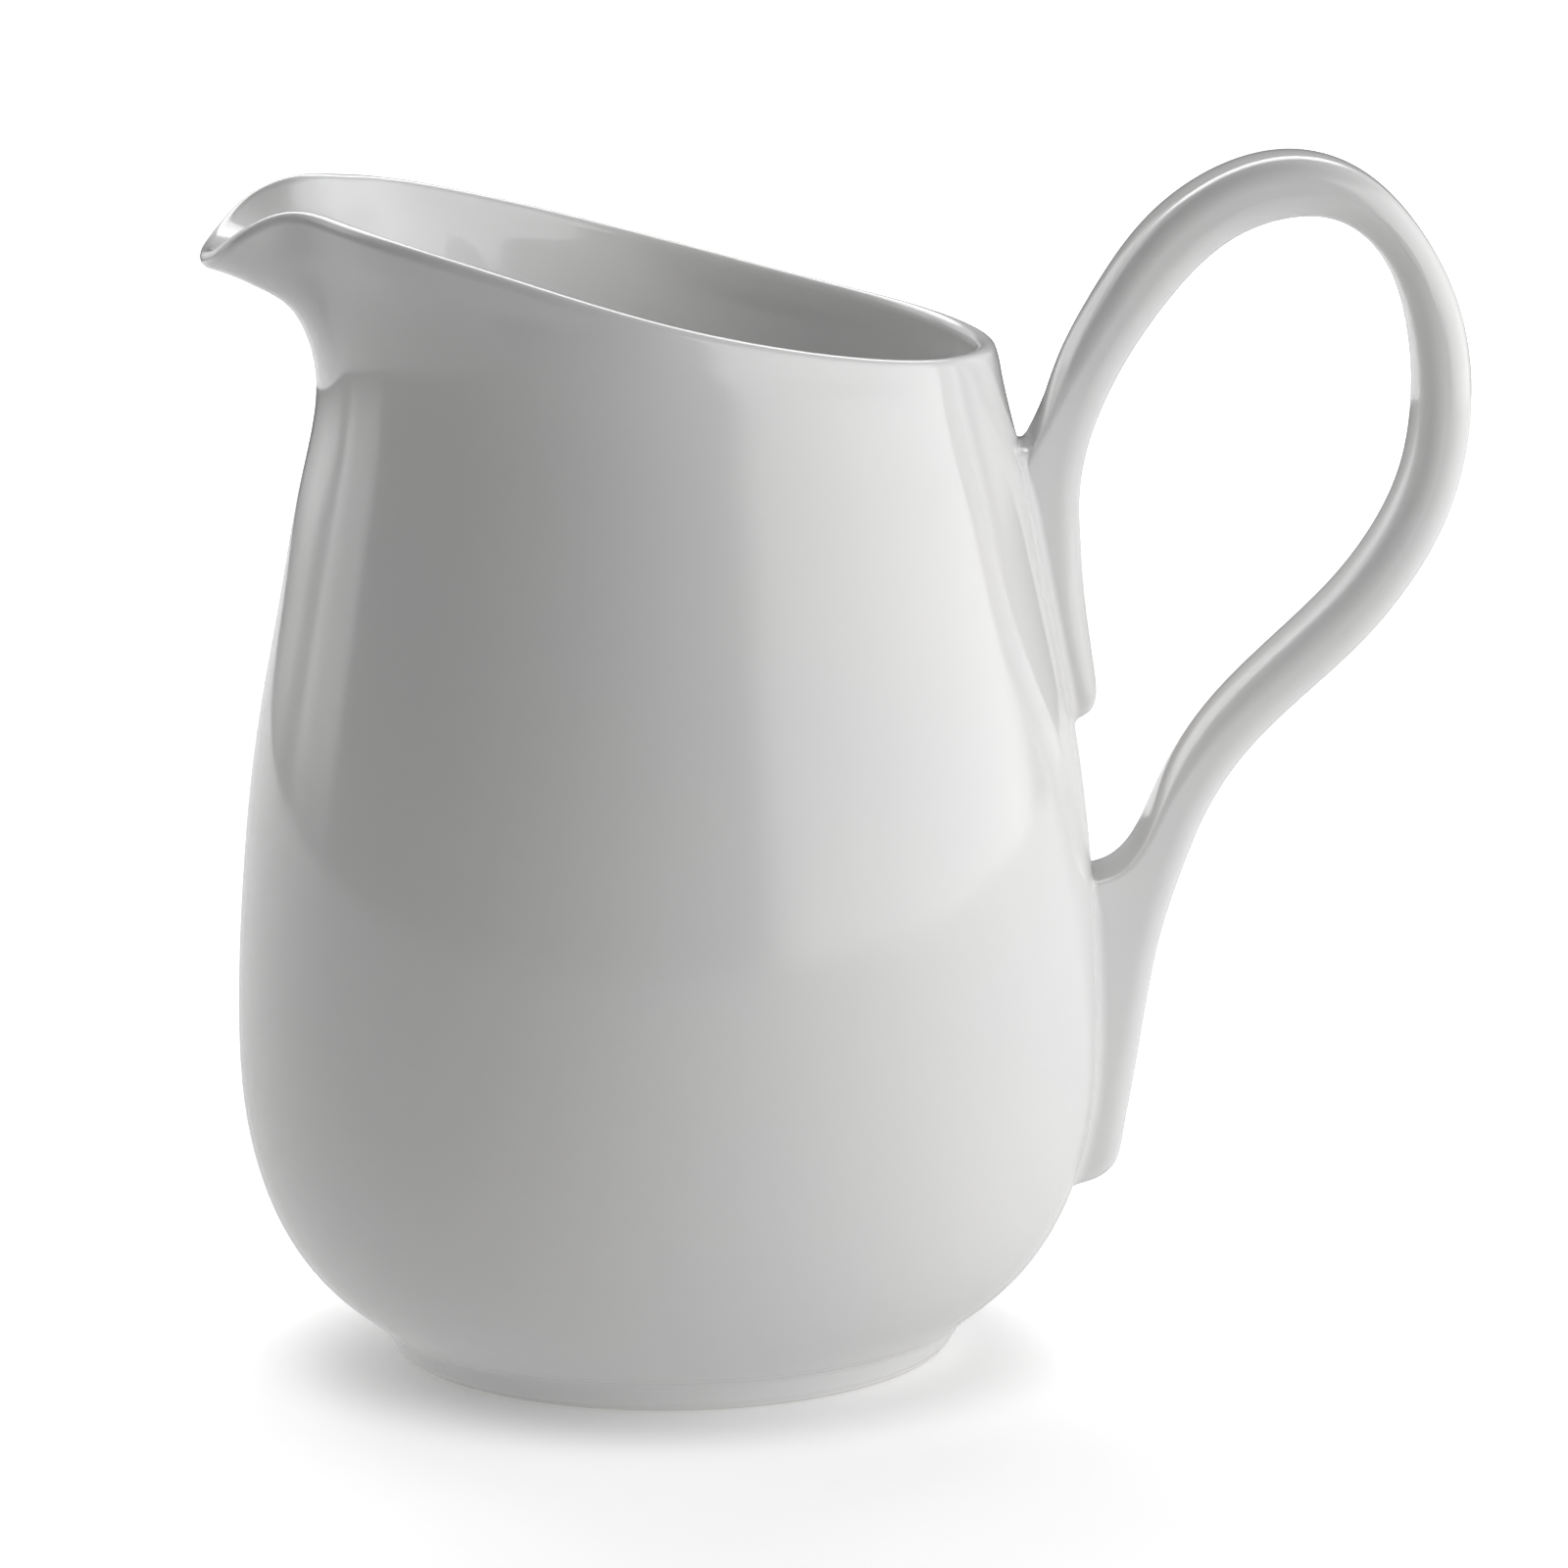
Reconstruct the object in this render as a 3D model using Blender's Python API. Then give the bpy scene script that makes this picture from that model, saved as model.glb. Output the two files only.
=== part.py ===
"""Porcelain serving jug of about 1.5 litres, in the pieces that a pottery joins: a body casting
whose lip is drawn out into a spout, a foot ring, a cast strap handle, and the layers of slip
(liquid clay) that lute the foot ring and the handle's two tongues to the body.

Metres, +Z up, Z = 0 on the table. The spout points along -X and the handle along +X, and the
jug is symmetric about Y = 0. Dimensions below are in millimetres, and X is measured from the
body's own axis until a mesh is written."""

import math

import bpy
import numpy as np

MM = 0.001

# The body's axis stands this far from the middle of spout and handle together.
AXIS_X = -27.1

# Clearance between neighbours, and the fired thickness of a slip layer.
GAP = 0.3
SLIP_THICKNESS = 0.5
STANDOFF = GAP + SLIP_THICKNESS + GAP

# Foot ring.
FOOT_HEIGHT = 5.3
FOOT_BOTTOM_RADIUS = 42.8
FOOT_TOP_RADIUS = 46.1
FOOT_RING_WIDTH = 4.6
FOOT_INNER_DRAFT = 0.8
FOOT_EDGE_ROUND = 0.7

# Walls of the body casting.
BELLY_THICKNESS = 3.8
LIP_THICKNESS = 3.0
FLOOR_TOP = 9.6
FLOOR_RADIUS = 36.0
RECESS_RISE = 1.1

# Control polygon of the outer wall, from the foot to the shoulder: radius, height.
BELLY = (
    (46.5, 5.3),
    (49.4, 7.6),
    (55.5, 12.5),
    (61.8, 22.0),
    (66.0, 37.0),
    (66.3, 55.0),
    (65.1, 75.0),
    (62.9, 96.0),
    (58.4, 117.0),
    (55.6, 134.0),
)

# Crest of the lip, from the tip of the spout round to the handle side: X, Y, height.
LIP = (
    (-69.3, 0.0, 170.1),
    (-67.2, 13.5, 171.9),
    (-62.0, 20.3, 176.2),
    (-55.5, 21.9, 178.9),
    (-49.3, 27.8, 178.3),
    (-40.3, 37.7, 176.3),
    (-23.5, 46.2, 171.9),
    (0.0, 50.8, 165.2),
    (24.0, 42.5, 159.4),
    (41.0, 26.8, 156.4),
    (48.7, 0.0, 155.3),
)

# How the wall rises from the shoulder, for every second point of the lip: its slope at the lip
# in degrees above level (over 90 leans in), its radius low and high on the neck, and the length
# of the straight run under the lip.
NECK = (
    (14.0, 51.0, 54.4, 8.0),
    (58.0, 51.3, 54.6, 6.5),
    (72.0, 51.9, 53.8, 5.5),
    (84.0, 52.6, 52.9, 4.0),
    (98.0, 53.0, 52.1, 3.0),
    (107.0, 53.0, 51.4, 2.0),
)
NECK_HEIGHTS = (0.45, 0.80)
COLUMN_TWIST = 0.2

# Handle, from the end of the upper tongue, round the loop, to the end of the lower tongue. Each
# station has a point on the loop's outside and one on its inside. Where a tongue is bedded on the
# body, that side's point is a height alone, and its X follows the body's wall.
STATIONS = (
    (99.6, (65.7, 100.0)),
    (105.2, (65.4, 105.2)),
    (112.0, (64.5, 112.0)),
    (119.5, (63.8, 119.5)),
    (127.0, (63.3, 127.0)),
    (134.0, (63.5, 133.6)),
    (138.8, (64.7, 139.3)),
    ((57.2, 143.5), (66.6, 144.7)),
    ((60.1, 152.2), (70.3, 152.4)),
    ((65.4, 161.9), (75.2, 159.4)),
    ((73.3, 172.6), (81.5, 166.4)),
    ((84.2, 180.4), (88.8, 171.7)),
    ((96.5, 183.2), (96.8, 173.5)),
    ((108.2, 178.8), (104.3, 172.2)),
    ((117.1, 168.1), (109.6, 167.0)),
    ((121.7, 156.9), (113.2, 157.4)),
    ((122.9, 145.0), (114.3, 146.2)),
    ((121.2, 132.9), (113.0, 135.4)),
    ((116.2, 121.0), (108.8, 125.6)),
    ((107.5, 109.4), (102.0, 116.5)),
    ((97.8, 100.2), (92.9, 107.9)),
    ((89.1, 91.9), (84.4, 99.6)),
    ((83.4, 83.8), (77.9, 90.3)),
    ((80.5, 77.8), (74.4, 82.5)),
    ((78.5, 73.0), (70.0, 76.0)),
    ((76.8, 67.7), 71.6),
    ((75.0, 60.9), 62.0),
    ((73.8, 54.0), 54.0),
    ((72.6, 46.8), 46.5),
    ((71.3, 39.5), 39.0),
    ((70.0, 32.7), 32.5),
    ((68.7, 25.9), 27.0),
)
STRAP_HALF_WIDTH = 8.0
STRAP_CORNER_ROUND = 3.0
BEDDED_CORNER_ROUND = 0.8
STRAP_CROWN = 0.8
TONGUE_END_ROUND = 2.4

# Slip pads under the tongues: lowest height, highest height, half width.
UPPER_PAD = (100.5, 137.0, 6.6)
LOWER_PAD = (28.5, 69.0, 6.6)

# Mesh density.
BODY_COLUMNS = 64
WALL_ROWS = 25
LIP_STEPS = 5
FLOOR_STEPS = 4
STRAP_SECTIONS = 70
CORNER_STEPS = 3
PAD_STEPS = (10, 4)
FOOT_SLIP_WIDTH = 3.4

GLAZE = ((0.86, 0.86, 0.85, 1.0), 0.08)
BISQUE = ((0.80, 0.78, 0.74, 1.0), 0.75)


# --- curves ---------------------------------------------------------------------------------


def bspline(control, where):
    """Points of a uniform cubic B-spline at parameters 0 to len(control) - 1. It starts at its
    first control point and ends at its last."""
    control = np.asarray(control, float)
    padded = np.concatenate(
        [2 * control[:1] - control[1:2], control, 2 * control[-1:] - control[-2:-1]]
    )
    where = np.asarray(where, float)
    first = np.clip(where.astype(int), 0, len(control) - 2)
    f = (where - first).reshape((-1,) + (1,) * (control.ndim - 1))
    weights = (
        (1 - f) ** 3,
        3 * f**3 - 6 * f**2 + 4,
        -3 * f**3 + 3 * f**2 + 3 * f + 1,
        f**3,
    )
    return sum(weight * padded[first + k] for k, weight in enumerate(weights)) / 6


def control_through(points):
    """Control points that take the B-spline through each given point."""
    points = np.asarray(points, float)
    count = len(points)
    matrix = (4 * np.eye(count) + np.eye(count, k=1) + np.eye(count, k=-1)) / 6
    matrix[0] = np.eye(count)[0]
    matrix[-1] = np.eye(count)[-1]
    return np.linalg.solve(matrix, points)


def closed_curve_through(points, where):
    """A closed smooth curve through the points, at parameters 0 to len(points)."""
    points = np.asarray(points, float)
    count = len(points)
    ring = np.roll(np.eye(count), 1, axis=1)
    control = np.linalg.solve((4 * np.eye(count) + ring + ring.T) / 6, points)
    lap = np.concatenate([control[-3:], control, control[:3]])
    return bspline(lap, np.asarray(where, float) + 3)


def even_series(values, where):
    """Values at evenly spaced stations, joined by cosines so that both ends are level. where
    runs from 0 to 1."""
    values = np.asarray(values, float)
    order = np.arange(len(values))
    stations = np.linspace(0, math.pi, len(values))
    weights = np.linalg.solve(np.cos(np.outer(stations, order)), values)
    return np.cos(np.outer(np.asarray(where) * math.pi, order)) @ weights


def unit(vectors):
    return vectors / np.linalg.norm(vectors, axis=-1, keepdims=True)


# --- meshes ---------------------------------------------------------------------------------


def material(name, look):
    made = bpy.data.materials.new(name)
    made.use_nodes = True
    shader = made.node_tree.nodes["Principled BSDF"]
    shader.inputs["Base Color"].default_value = look[0]
    shader.inputs["Roughness"].default_value = look[1]
    shader.inputs["Metallic"].default_value = 0.0
    return made


def add_object(name, points, faces, look):
    """Makes a mesh object from millimetres about the body's axis."""
    points = (np.asarray(points, float) + (AXIS_X, 0, 0)) * MM
    mesh = bpy.data.meshes.new(name)
    mesh.from_pydata(points.tolist(), [], faces)
    mesh.validate()
    made = bpy.data.objects.new(name, mesh)
    bpy.context.scene.collection.objects.link(made)
    mesh.materials.append(material(name + "_finish", look))
    mesh.shade_smooth()
    mesh.set_sharp_from_angle(angle=math.radians(35))
    return made


def ring_faces(rows, columns):
    """Quads over rows of a closed loop each, numbered row by row."""
    faces = []
    for row in range(rows - 1):
        for column in range(columns):
            after = (column + 1) % columns
            low, high = row * columns, (row + 1) * columns
            faces.append((low + column, low + after, high + after, high + column))
    return faces


def tube(rows):
    """Points and faces of a tube of loops whose two ends are closed by flat faces."""
    rows = np.asarray(rows)
    count, columns = rows.shape[:2]
    faces = ring_faces(count, columns)
    last = (count - 1) * columns
    faces.append(tuple(range(columns - 1, -1, -1)))
    faces.append(tuple(range(last, last + columns)))
    return rows.reshape(-1, 3), faces


def turned_ring(profile, columns):
    """A solid ring turned from a closed profile (radius, height), listed anticlockwise."""
    angles = np.arange(columns) * 2 * math.pi / columns
    points = [
        (radius * math.cos(a), radius * math.sin(a), height)
        for a in angles
        for radius, height in profile
    ]
    count = len(profile)
    faces = []
    for column in range(columns):
        here, beside = column * count, (column + 1) % columns * count
        for k in range(count):
            after = (k + 1) % count
            faces.append((here + k, beside + k, beside + after, here + after))
    return points, faces


# --- body -----------------------------------------------------------------------------------


def lip_crest(where):
    """The crest of the lip at parameters 0 (spout) to 1 (handle side) and on to 2."""
    half = np.array(LIP)
    mirrored = half[-2:0:-1] * (1, -1, 1)
    return closed_curve_through(np.concatenate([half, mirrored]), where * (len(half) - 1))


def wall_columns(where):
    """Control points of the outer wall, as an array of rows by columns."""
    fold = np.where(where > 1, 2 - where, where)
    crest = lip_crest(where)
    step = 1e-4
    along = unit((lip_crest(where + step) - lip_crest(where - step))[:, :2])
    outward = np.stack([-along[:, 1], along[:, 0]], axis=1)
    outward *= np.sign((outward * crest[:, :2]).sum(axis=1, keepdims=True))
    slope, low_radius, high_radius, run = even_series(NECK, fold).T
    slope = np.radians(slope)
    rise = np.column_stack([outward * np.cos(slope)[:, None], np.sin(slope)])
    side = np.column_stack([outward * np.sin(slope)[:, None], -np.cos(slope)])
    end = crest + (side - rise) * LIP_THICKNESS / 2

    lip_azimuth = np.arctan2(np.abs(crest[:, 1]), -crest[:, 0])
    lip_azimuth = np.where(where > 1, 2 * math.pi - lip_azimuth, lip_azimuth)
    azimuth = (1 - COLUMN_TWIST) * lip_azimuth + COLUMN_TWIST * where * math.pi

    def at(angle, radius, height):
        return np.column_stack([-radius * np.cos(angle), radius * np.sin(angle), height])

    ones = np.ones(len(where))
    rows = [at(azimuth, radius * ones, height * ones) for radius, height in BELLY]
    shoulder = BELLY[-1][1]
    for fraction, radius in zip(NECK_HEIGHTS, (low_radius, high_radius)):
        turned = azimuth + (lip_azimuth - azimuth) * fraction
        rows.append(at(turned, radius, shoulder + fraction * (end[:, 2] - shoulder)))
    rows.append(end - rise * run[:, None])
    rows.append(end)
    return np.stack(rows)


def outer_wall(columns, rows):
    """Points of the outer wall, rows by columns, and the unit normals there."""
    control = wall_columns(np.arange(columns) * 2 / columns)
    where = np.linspace(0, len(control) - 1, rows)
    points = bspline(control, where)
    step = 1e-3
    before = bspline(control, np.clip(where - step, 0, None))
    after = bspline(control, np.clip(where + step, None, len(control) - 1))
    upwards = after - before
    around = np.roll(points, -1, axis=1) - np.roll(points, 1, axis=1)
    return points, unit(np.cross(upwards, around)), unit(upwards)


def body_radius(height):
    """Outer radius of the body on the handle side at a height, or at an array of heights."""
    control = wall_columns(np.array([1.0]))
    line = bspline(control, np.linspace(0, len(control) - 1, 400))[:, 0]
    return np.interp(height, line[:, 2], line[:, 0])


def lip_arc(end, normal, upwards):
    """Rows of points over the rounded lip, from its outer edge to its inner edge."""
    radius = LIP_THICKNESS / 2
    middle = end - normal * radius
    rows = []
    for k in range(1, LIP_STEPS):
        angle = math.pi * k / LIP_STEPS
        rows.append(middle + radius * (normal * math.cos(angle) + upwards * math.sin(angle)))
    return rows


def inner_floor(start, direction):
    """Rows from the foot of the inner wall, through a fillet, to the rim of the flat floor."""
    outward = unit(start * (1, 1, 0))
    flat = outward * FLOOR_RADIUS + (0, 0, FLOOR_TOP)
    reach = np.linalg.norm(start - flat, axis=1, keepdims=True)
    rows = []
    for k in range(1, FLOOR_STEPS + 1):
        t = k / FLOOR_STEPS
        keep, leave = 2 * t**3 - 3 * t**2 + 1, t**3 - 2 * t**2 + t
        take, arrive = 3 * t**2 - 2 * t**3, t**3 - t**2
        bend = (leave * -direction - arrive * outward) * reach
        rows.append(keep * start + take * flat + bend)
    return rows


def make_body():
    points, normals, upwards = outer_wall(BODY_COLUMNS, WALL_ROWS)
    share = np.linspace(0, 1, WALL_ROWS)[:, None, None]
    thickness = BELLY_THICKNESS + (LIP_THICKNESS - BELLY_THICKNESS) * share
    inside = points - normals * thickness
    lowest = next(k for k in range(WALL_ROWS) if inside[k, :, 2].min() > FLOOR_TOP + 4)

    outward = unit(points[0] * (1, 1, 0))
    foot = [
        outward * 15 + (0, 0, FOOT_HEIGHT + RECESS_RISE),
        outward * 30 + (0, 0, FOOT_HEIGHT + RECESS_RISE / 2),
        outward * 38 + (0, 0, FOOT_HEIGHT),
    ]
    rows = foot + list(points) + lip_arc(points[-1], normals[-1], upwards[-1])
    rows += list(inside[: lowest - 1 : -1])
    rows += inner_floor(inside[lowest], upwards[lowest])
    rows = np.stack(rows)
    faces = ring_faces(len(rows), BODY_COLUMNS)
    faces = [face[::-1] for face in faces]
    first = rows.shape[0] * BODY_COLUMNS
    last_row = first - BODY_COLUMNS
    for column in range(BODY_COLUMNS):
        after = (column + 1) % BODY_COLUMNS
        faces.append((column, after, first))
        faces.append((last_row + after, last_row + column, first + 1))
    poles = [(0, 0, FOOT_HEIGHT + RECESS_RISE), (0, 0, FLOOR_TOP)]
    add_object("body_shell", np.concatenate([rows.reshape(-1, 3), poles]), faces, GLAZE)


# --- foot -----------------------------------------------------------------------------------


def make_foot():
    top = FOOT_HEIGHT - STANDOFF
    draft = (FOOT_TOP_RADIUS - FOOT_BOTTOM_RADIUS) / FOOT_HEIGHT
    inside = FOOT_BOTTOM_RADIUS - FOOT_RING_WIDTH
    r = FOOT_EDGE_ROUND
    profile = [
        (inside + r, 0),
        (FOOT_BOTTOM_RADIUS - r, 0),
        (FOOT_BOTTOM_RADIUS - 0.3 * r, 0.3 * r),
        (FOOT_BOTTOM_RADIUS + draft * r, r),
        (FOOT_BOTTOM_RADIUS + draft * top, top),
        (inside - FOOT_INNER_DRAFT, top),
        (inside, r),
        (inside + 0.3 * r, 0.3 * r),
    ]
    points, faces = turned_ring(profile, BODY_COLUMNS)
    add_object("foot_ring", points, faces, BISQUE)

    middle = FOOT_BOTTOM_RADIUS - FOOT_RING_WIDTH / 2 + draft * top / 2
    low, high = top + GAP, top + GAP + SLIP_THICKNESS
    near, far = middle - FOOT_SLIP_WIDTH / 2, middle + FOOT_SLIP_WIDTH / 2
    points, faces = turned_ring([(near, low), (far, low), (far, high), (near, high)], BODY_COLUMNS)
    add_object("foot_luting_slip", points, faces, BISQUE)


# --- handle ---------------------------------------------------------------------------------


def strap_sections():
    """For each section: its point on the loop's outside and inside, how far each side is bedded
    on the body (0 to 1), and its distance from the nearer end of the strap."""
    outside, inside, bedded = [], [], []
    for out, into in STATIONS:
        on_outside = isinstance(out, float)
        on_inside = isinstance(into, float)
        outside.append((body_radius(out) + STANDOFF, out) if on_outside else out)
        inside.append((body_radius(into) + STANDOFF, into) if on_inside else into)
        bedded.append((float(on_outside), float(on_inside)))
    where = np.linspace(0, len(STATIONS) - 1, STRAP_SECTIONS)
    outside = bspline(control_through(outside), where)
    inside = bspline(control_through(inside), where)
    order = np.arange(len(STATIONS))
    bedded = np.column_stack([np.interp(where, order, side) for side in zip(*bedded)])
    middle = (outside + inside) / 2
    steps = np.linalg.norm(np.diff(middle, axis=0), axis=1)
    length = np.concatenate([[0], np.cumsum(steps)])
    return outside, inside, bedded, np.minimum(length, length[-1] - length)


def strap_ring(outside, inside, bedded, end_distance):
    """One closed section of the strap, anticlockwise seen along the strap."""
    span = inside - outside
    thickness = math.hypot(*span)
    direction = span / thickness
    inset = 0.0
    if end_distance < TONGUE_END_ROUND:
        inset = TONGUE_END_ROUND - math.sqrt(
            TONGUE_END_ROUND**2 - (TONGUE_END_ROUND - end_distance) ** 2
        )
    half = STRAP_HALF_WIDTH - inset
    low = inset * (1 - bedded[0])
    high = thickness - inset * (1 - bedded[1])
    rounds = [
        STRAP_CORNER_ROUND + (BEDDED_CORNER_ROUND - STRAP_CORNER_ROUND) * side
        for side in bedded
    ]
    limit = (high - low) * 0.45
    near, far = min(rounds[0], limit), min(rounds[1], limit)
    corners = (
        (-half + near, low + near, near, 180, 270),
        (half - near, low + near, near, 270, 360),
        (half - far, high - far, far, 0, 90),
        (-half + far, high - far, far, 90, 180),
    )
    ring = []
    for across, along, radius, start, stop in corners:
        for k in range(CORNER_STEPS + 1):
            angle = math.radians(start + (stop - start) * k / CORNER_STEPS)
            ring.append((across + radius * math.cos(angle), along + radius * math.sin(angle)))
        if start == 180:
            ring += [(-half / 3, low), (half / 3, low)]
        if start == 0:
            ring += [(half / 3, high), (-half / 3, high)]
    points = []
    for across, along in ring:
        crown = STRAP_CROWN * (1 - (across / STRAP_HALF_WIDTH) ** 2)
        sag = across**2 / (2 * (outside[0] if bedded[0] else inside[0]))
        share = (along - low) / (high - low)
        along += crown * ((1 - bedded[1]) * share - (1 - bedded[0]) * (1 - share))
        along += sag * (bedded[1] * share - bedded[0] * (1 - share))
        x, z = outside + direction * along
        points.append((x, across, z))
    return points


def make_handle():
    outside, inside, bedded, end_distance = strap_sections()
    rings = [strap_ring(*section) for section in zip(outside, inside, bedded, end_distance)]
    points, faces = tube(rings[::-1])
    add_object("handle", points, faces, GLAZE)


def make_pad(name, low, high, half_width):
    """A thin sheet of slip that follows the body's wall under a tongue."""
    tall, wide = PAD_STEPS
    heights = np.linspace(low, high, tall + 1)
    rings = []
    for height in heights:
        radius = float(body_radius(height))
        ring = []
        for offset, order in ((GAP, -1), (GAP + SLIP_THICKNESS, 1)):
            for k in range(wide + 1):
                across = order * half_width * (2 * k / wide - 1)
                reach = radius + offset
                ring.append((math.sqrt(reach**2 - across**2), across, height))
        rings.append(ring)
    points, faces = tube(rings)
    add_object(name, points, faces, BISQUE)


def main():
    for old in list(bpy.data.objects):
        bpy.data.objects.remove(old, do_unlink=True)
    make_body()
    make_foot()
    make_handle()
    make_pad("upper_luting_slip", *UPPER_PAD)
    make_pad("lower_luting_slip", *LOWER_PAD)


main()
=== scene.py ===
"""Looks of the porcelain serving jug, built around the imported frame.

The jug is white porcelain under one clear, glossy glaze. The body and handle are finely lofted
versions of the CAD solids, and the slip that lutes the handle on is sponged into a small cove
all round each tongue. Dimensions are in millimetres from the body's own axis until a mesh is
written in metres."""

import math

import bpy
import numpy as np
from mathutils import Matrix, Vector


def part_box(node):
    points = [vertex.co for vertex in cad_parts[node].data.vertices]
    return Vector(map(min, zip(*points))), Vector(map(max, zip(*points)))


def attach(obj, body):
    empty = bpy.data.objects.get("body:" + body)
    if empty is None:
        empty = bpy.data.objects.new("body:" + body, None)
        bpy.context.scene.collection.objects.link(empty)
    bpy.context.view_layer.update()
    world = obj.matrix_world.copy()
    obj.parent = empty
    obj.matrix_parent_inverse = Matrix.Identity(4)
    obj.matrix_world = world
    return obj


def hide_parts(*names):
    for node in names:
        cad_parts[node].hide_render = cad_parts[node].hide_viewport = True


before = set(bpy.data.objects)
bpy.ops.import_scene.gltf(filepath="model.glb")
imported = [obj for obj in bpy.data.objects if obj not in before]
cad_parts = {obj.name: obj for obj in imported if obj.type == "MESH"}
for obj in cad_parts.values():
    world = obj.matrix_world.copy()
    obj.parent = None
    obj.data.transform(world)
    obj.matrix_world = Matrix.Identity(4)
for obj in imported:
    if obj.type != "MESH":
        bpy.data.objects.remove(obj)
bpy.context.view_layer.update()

MM = 0.001
FOOT_LOW, FOOT_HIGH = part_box("foot_ring")
AXIS_X = (FOOT_LOW.x + FOOT_HIGH.x) / 2 / MM

# Foot ring and the body's underside.
FOOT_HEIGHT = 5.3
FOOT_BOTTOM_RADIUS = 42.8
FOOT_TOP_RADIUS = 46.1
FOOT_RING_WIDTH = 4.6
FOOT_INNER_RADIUS = FOOT_BOTTOM_RADIUS - FOOT_RING_WIDTH
FOOT_INNER_DRAFT = 0.15
FOOT_INNER_TOP = 4.7
FOOT_EDGE_RADIUS = 0.8
FOOT_EDGE_LEAN = 0.3
BARE_HEIGHT = 0.25
RECESS_RISE = 1.1

# Underside of the body, from its middle out to the ring: radius, height over the ring's top.
UNDERSIDE = (
    (1.0, RECESS_RISE),
    (15.0, RECESS_RISE),
    (30.0, 0.6 * RECESS_RISE),
    (36.0, 0.2 * RECESS_RISE),
    (40.0, 0.0),
    (45.2, -0.1),
)

# Top of the foot ring, hidden in the body: radius, height.
FOOT_TOP = ((46.65, 6.12), (44.55, 5.6), (37.3, 5.5))

# The glaze fills the crease over the foot ring, from this height up to this point of the body.
CREASE_LOW = 4.3
CREASE_CORNER = (FOOT_TOP_RADIUS + 0.15, FOOT_HEIGHT)
CREASE_END = (47.55, 6.12)

# Walls of the body casting, and the floor inside it. The wall ends in a fillet over the floor.
BELLY_THICKNESS = 3.8
LIP_THICKNESS = 3.0
FLOOR_TOP = 9.6
FLOOR_RADIUS = 36.0
FLOOR_RINGS = (30, 20, 10, 1)
FILLET_RISE = 4.0

# Control polygon of the outer wall, from the foot to the shoulder: radius, height.
BELLY = (
    (46.5, 5.3),
    (49.4, 7.6),
    (55.5, 12.5),
    (61.8, 22.0),
    (66.0, 37.0),
    (66.3, 55.0),
    (65.1, 75.0),
    (62.9, 96.0),
    (58.4, 117.0),
    (55.6, 134.0),
)

# Crest of the lip, from the tip of the spout round to the handle side: X, Y, height.
LIP = (
    (-69.3, 0.0, 170.1),
    (-67.2, 13.5, 171.9),
    (-62.0, 20.3, 176.2),
    (-55.5, 21.9, 178.9),
    (-49.3, 27.8, 178.3),
    (-40.3, 37.7, 176.3),
    (-23.5, 46.2, 171.9),
    (0.0, 50.8, 165.2),
    (24.0, 42.5, 159.4),
    (41.0, 26.8, 156.4),
    (48.7, 0.0, 155.3),
)

# How the wall rises from the shoulder, for every second point of the lip: its slope at the lip
# in degrees above level (over 90 leans in), its radius low and high on the neck, and the length
# of the straight run under the lip.
NECK = (
    (14.0, 51.0, 54.4, 8.0),
    (58.0, 51.3, 54.6, 6.5),
    (72.0, 51.9, 53.8, 5.5),
    (84.0, 52.6, 52.9, 4.0),
    (98.0, 53.0, 52.1, 3.0),
    (107.0, 53.0, 51.4, 2.0),
)
NECK_HEIGHTS = (0.45, 0.80)
COLUMN_TWIST = 0.2

# The strap's outline seen from the side, in two curves: round the outside of the loop, from the
# crotch under the lip to the lower tongue's end, and round its inside, from the upper tongue's
# end to the crotch over the lower tongue. Each point is X, height, the radius of the strap's
# edge there, and the crown of its face. The ends of both are buried in the body's wall. Round
# the loop, the two curves' points lie in pairs across the strap.
LOOP_OUTSIDE = (
    (53.3, 134.7, 0.9, 0.0),
    (55.3, 138.8, 0.9, 0.0),
    (57.4, 143.6, 0.9, 0.4),
    (60.1, 152.0, 1.6, 1.4),
    (65.3, 161.8, 2.6, 1.2),
    (73.3, 172.6, 3.1, 0.8),
    (84.2, 180.5, 3.2, 0.7),
    (96.5, 183.2, 3.2, 0.7),
    (108.2, 178.8, 3.2, 0.7),
    (117.1, 168.1, 3.2, 0.7),
    (121.7, 156.9, 3.2, 0.7),
    (122.9, 145.0, 3.2, 0.7),
    (121.2, 132.9, 3.2, 0.7),
    (116.2, 121.0, 3.2, 0.7),
    (107.5, 109.4, 3.2, 0.7),
    (97.9, 100.4, 3.2, 0.7),
    (89.2, 91.9, 3.2, 0.7),
    (83.5, 83.8, 3.1, 0.7),
    (80.3, 76.9, 3.0, 0.7),
    (78.1, 71.0, 3.0, 0.7),
    (76.5, 66.2, 3.0, 0.7),
    (75.5, 62.6, 3.0, 0.7),
    (74.8, 59.6, 3.0, 0.7),
)
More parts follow.
